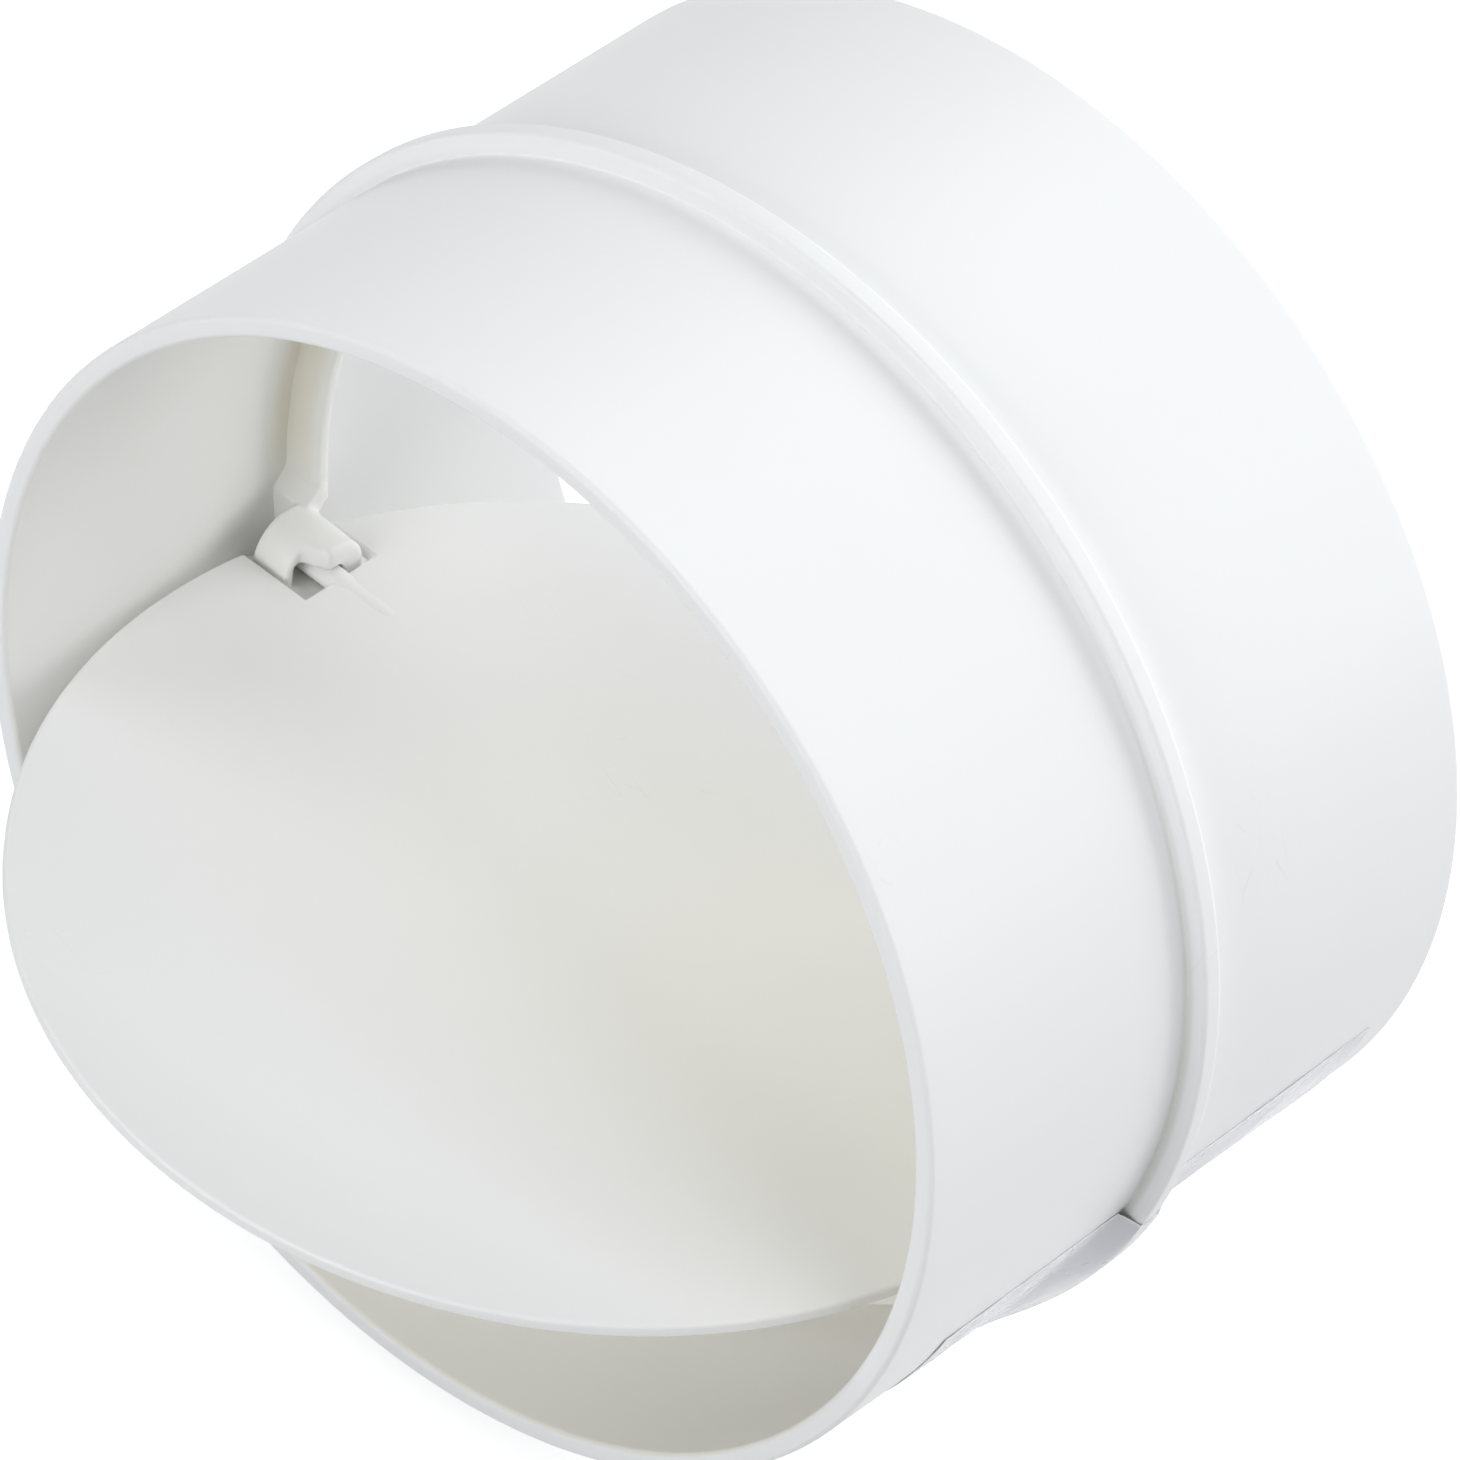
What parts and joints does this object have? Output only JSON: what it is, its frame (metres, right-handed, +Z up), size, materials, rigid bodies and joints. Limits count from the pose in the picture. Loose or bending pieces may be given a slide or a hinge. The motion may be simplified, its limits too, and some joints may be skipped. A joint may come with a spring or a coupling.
{
  "type": "in-line duct connector with back-draught flap",
  "caption": "Straight plastic connector for round ventilation duct, with a stop bead round its middle and a pivoted back-draught flap inside.",
  "frame": {"origin": "on the tube's axis, in the plane of the bead's front shoulder, where the flap's pivot lies too", "axes": "+Y along the tube from the flap's free end to the back spigot; +Z up with the flap lying open; X along the flap's pins"},
  "size_m": [0.1034, 0.0912, 0.1034],
  "materials": {
    "body_plastic": "white moulded plastic, satin",
    "flap_plastic": "white moulded plastic, satin"
  },
  "bodies": {
    "connector": {"connector_body": "body_plastic"},
    "flap": {"flap": "flap_plastic"}
  },
  "joints": [
    {"name": "flap_pivot", "type": "hinge", "parent": "connector", "child": "flap", "pos_m": [0, 0, -0.0114], "axis": [-1, 0, 0], "range_deg": [0, 92]}
  ]
}
